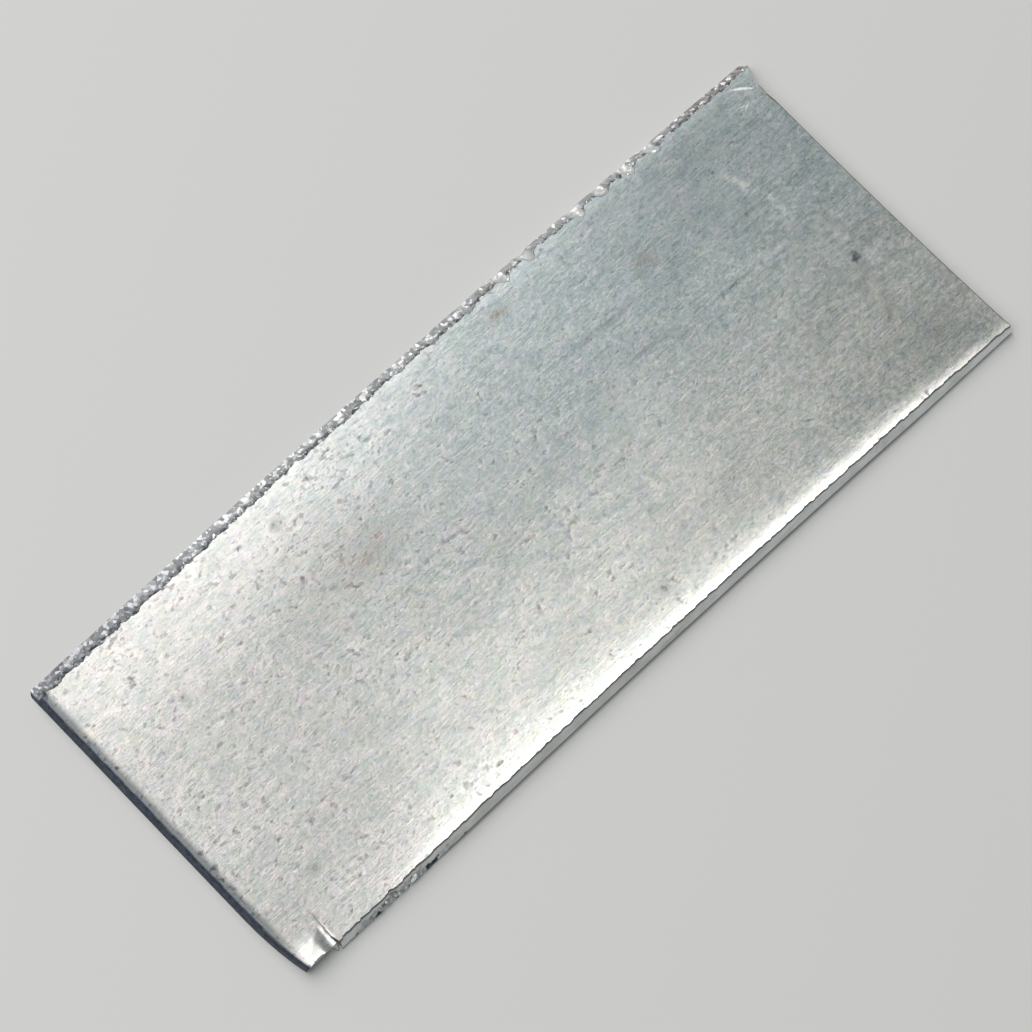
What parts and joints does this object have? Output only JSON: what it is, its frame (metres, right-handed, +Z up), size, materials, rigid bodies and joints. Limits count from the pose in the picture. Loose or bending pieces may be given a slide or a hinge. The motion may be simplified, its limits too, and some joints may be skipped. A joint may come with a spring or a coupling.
{
  "type": "zinc sheet",
  "caption": "Short flat offcut of rolled zinc sheet with two sheared edges, a curled front lip, a torn corner and a snapped crystalline back edge.",
  "frame": {"origin": "middle of the underside, on the plane the sheet rests on", "axes": "+X along the sheet's length, the rolling direction, towards its pointed end; +Y across it towards the broken edge; +Z up through its thickness"},
  "size_m": [0.0506, 0.0197, 0.0009],
  "materials": {
    "zinc": "satin"
  },
  "bodies": {
    "root": {"zinc_sheet": "zinc"}
  },
  "joints": []
}
